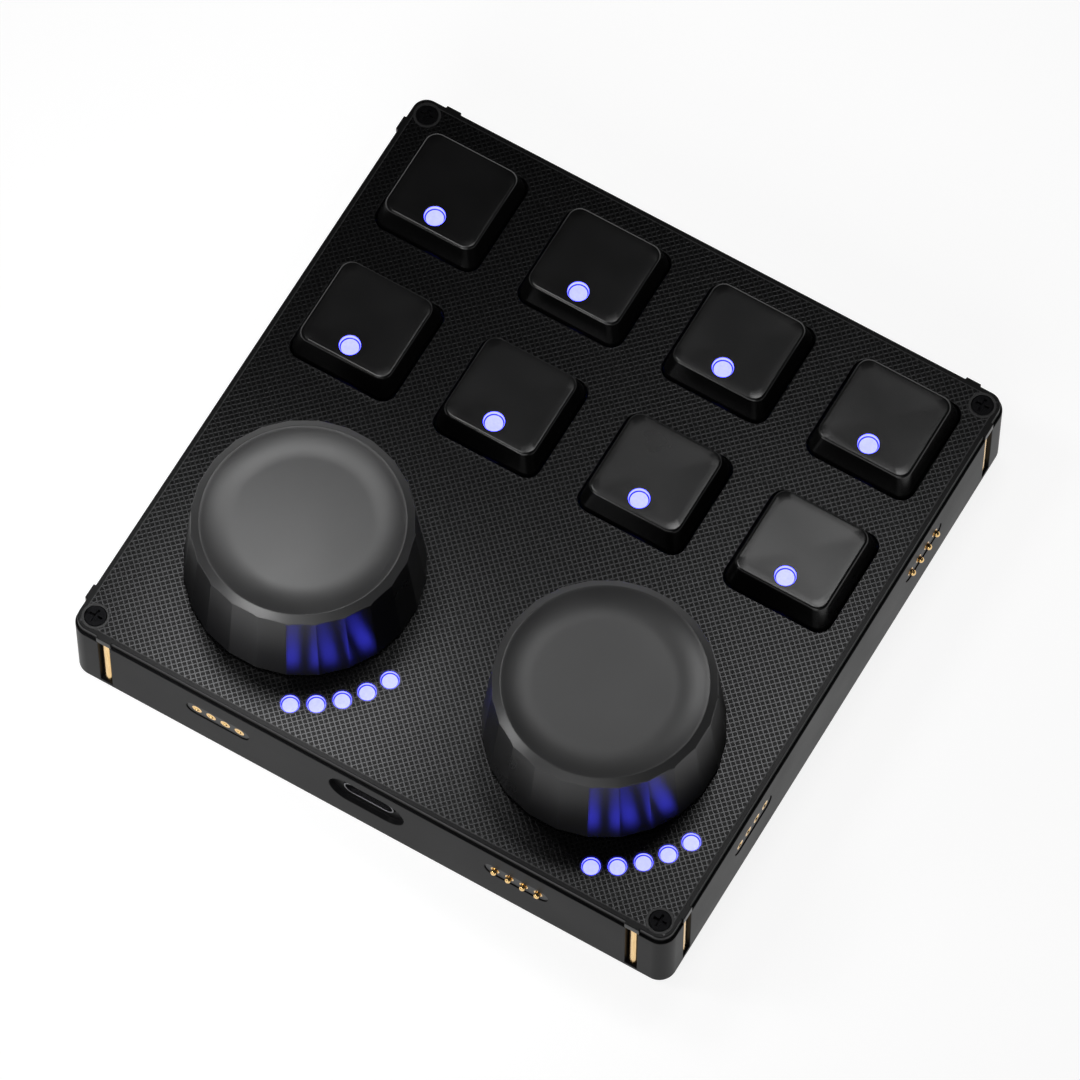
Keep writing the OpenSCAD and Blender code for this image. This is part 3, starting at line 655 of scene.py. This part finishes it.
ring_form = flat_ring("ring_form", *LIGHT_RING)
floor_radius, outer_radius, rim_depth = PLATE_WELL
cup_form = light_cup("cup_form", floor_radius, outer_radius, GUIDE_TOP, PLATE_TOP - rim_depth)
for side, knob_x in KNOBS.items():
    for number, angle in enumerate(ARC_ANGLES, 1):
        light_x = knob_x + ARC_R * math.cos(math.radians(angle))
        light_y = KNOB_Y + ARC_R * math.sin(math.radians(angle))
        # each ring round a light carries the painted glow of spilled light
        dress(copy_to(ring_form, f"light_ring_{side}_{number}", light_x, light_y),
              "root", "plate_black", [PAINTED_HALO])
        # the well's wall and groove carry painted glow from the light below
        dress(copy_to(cup_form, f"light_well_{side}_{number}", light_x, light_y),
              "root", "light_blue", [MATERIALS["light_blue"], PAINTED_GROOVE_GLOW])

screw_ring_form = flat_ring("screw_ring_form", *SCREW_RING)
for x_side, x_name in ((-1, "left"), (1, "right")):
    for y_side, y_name in ((-1, "front"), (1, "rear")):
        ring = copy_to(screw_ring_form, f"screw_ring_{x_name}_{y_name}",
                       x_side * SCREW_PLACE, y_side * SCREW_PLACE)
        dress(ring, "root", "plate_black", [PLAIN])

# Keys --------------------------------------------------------------------------------------------

cap_form = keycap_form()
floor_radius, outer_radius, rim_depth = CAP_WELL
key_cup_form = light_cup("key_cup_form", floor_radius, outer_radius, LENS_TOP, CAP_TOP - rim_depth)
for number, (key_x, key_y) in enumerate(KEY_PLACES, 1):
    dress(copy_to(cap_form, f"cap_{number}", key_x, key_y),
          f"key_{number}", "keycap_black", [MATERIALS["keycap_black"]], f"keycap_{number}")
    # the well's wall and groove carry painted glow from the lens below
    dress(copy_to(key_cup_form, f"cap_light_{number}", key_x, key_y - LENS_FORWARD),
          f"key_{number}", "light_blue", [MATERIALS["light_blue"], PAINTED_GROOVE_GLOW])

    # the coil stands on its housing
    coil = from_solid(f"key_spring_{number}", f"coil_{number}", 0)
    dress(coil, "root", "steel", [MATERIALS["steel"]], f"key_spring_{number}")
    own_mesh(coil)

# Knobs -------------------------------------------------------------------------------------------

dial_form = knob_form()
# faces that look up take the lighter top material: painted light on the knob's dish and bevel
for face in dial_form.data.polygons:
    face.material_index = 1 if face.normal.z > 0.5 else 0
for side, knob_x in KNOBS.items():
    dress(copy_to(dial_form, f"dial_{side}", knob_x, KNOB_Y),
          f"knob_{side}", "knob_black", [MATERIALS["knob_black"], KNOB_TOP_PAINTED_LIGHT], f"knob_{side}")

for form in (ring_form, cup_form, screw_ring_form, cap_form, key_cup_form, dial_form):
    bpy.data.objects.remove(form)

# Camera, stage and light -------------------------------------------------------------------------

camera_data = bpy.data.cameras.new("camera")
camera_data.lens = LENS_MM
camera_data.sensor_width = SENSOR_MM
camera_data.clip_end = CAMERA_REACH
camera = bpy.data.objects.new("camera", camera_data)
camera.location = CAMERA_PLACE
camera.rotation_euler = CAMERA_TURN
bpy.context.scene.collection.objects.link(camera)
bpy.context.scene.camera = camera


def floor_material():
    """A floor that takes the object's shadow, and glows white for the camera and in reflections."""
    material, tree, shader = new_material("floor_white")
    shader.inputs["Base Color"].default_value = (0.3, 0.3, 0.3, 1)
    shader.inputs["Roughness"].default_value = 1.0
    shader.inputs["Specular IOR Level"].default_value = 0.0
    rays = node(tree, "ShaderNodeLightPath").outputs
    seen = node(tree, "ShaderNodeMath", {0: rays["Is Camera Ray"], 1: rays["Is Glossy Ray"]},
                operation="ADD").outputs[0]
    seen = node(tree, "ShaderNodeMath", {0: seen, 1: rays["Is Transmission Ray"]},
                operation="ADD", use_clamp=True).outputs[0]
    shader.inputs["Emission Color"].default_value = (1, 1, 1, 1)
    tree.links.new(spread(tree, seen, 0, 1, 0, 0.85), shader.inputs["Emission Strength"])
    return material


# the floor lies just below the feet, so that no two faces share a plane
let_go()
bpy.ops.mesh.primitive_plane_add(size=8, location=(0, 0, -FLOOR_DROP * MM))
floor = new_piece("floor")
floor.data.materials.append(floor_material())

world = bpy.data.worlds.new("studio")
bpy.context.scene.world = world
world.use_nodes = True
sky = world.node_tree
direction = node(sky, "ShaderNodeTexCoord").outputs["Generated"]
ray_height = node(sky, "ShaderNodeSeparateXYZ", {"Vector": direction}).outputs["Z"]
sky_shade = node(sky, "ShaderNodeValToRGB", {"Fac": ray_height})
for stop, (position, colour) in zip(sky_shade.color_ramp.elements, (SKY_WHITE, SKY_BLACK)):
    stop.position = position
    stop.color = colour
sky.links.new(sky_shade.outputs["Color"], sky.nodes["Background"].inputs["Color"])


def lamp(name, place_mm, aim_mm, width, depth, radiance):
    """A softbox that the camera doesn't see, and that glows with this radiance towards its aim."""
    data = bpy.data.lights.new(name, "AREA")
    data.shape = "RECTANGLE"
    data.size = width * MM
    data.size_y = depth * MM
    data.energy = math.pi * width * depth * MM ** 2 * radiance
    box = bpy.data.objects.new(name, data)
    box.location = Vector(place_mm) * MM
    box.rotation_euler = (Vector(place_mm) - Vector(aim_mm)).to_track_quat("Z", "Y").to_euler()
    box.visible_camera = False
    bpy.context.scene.collection.objects.link(box)


for lamp_name, settings in SOFTBOXES.items():
    lamp(lamp_name, *settings)
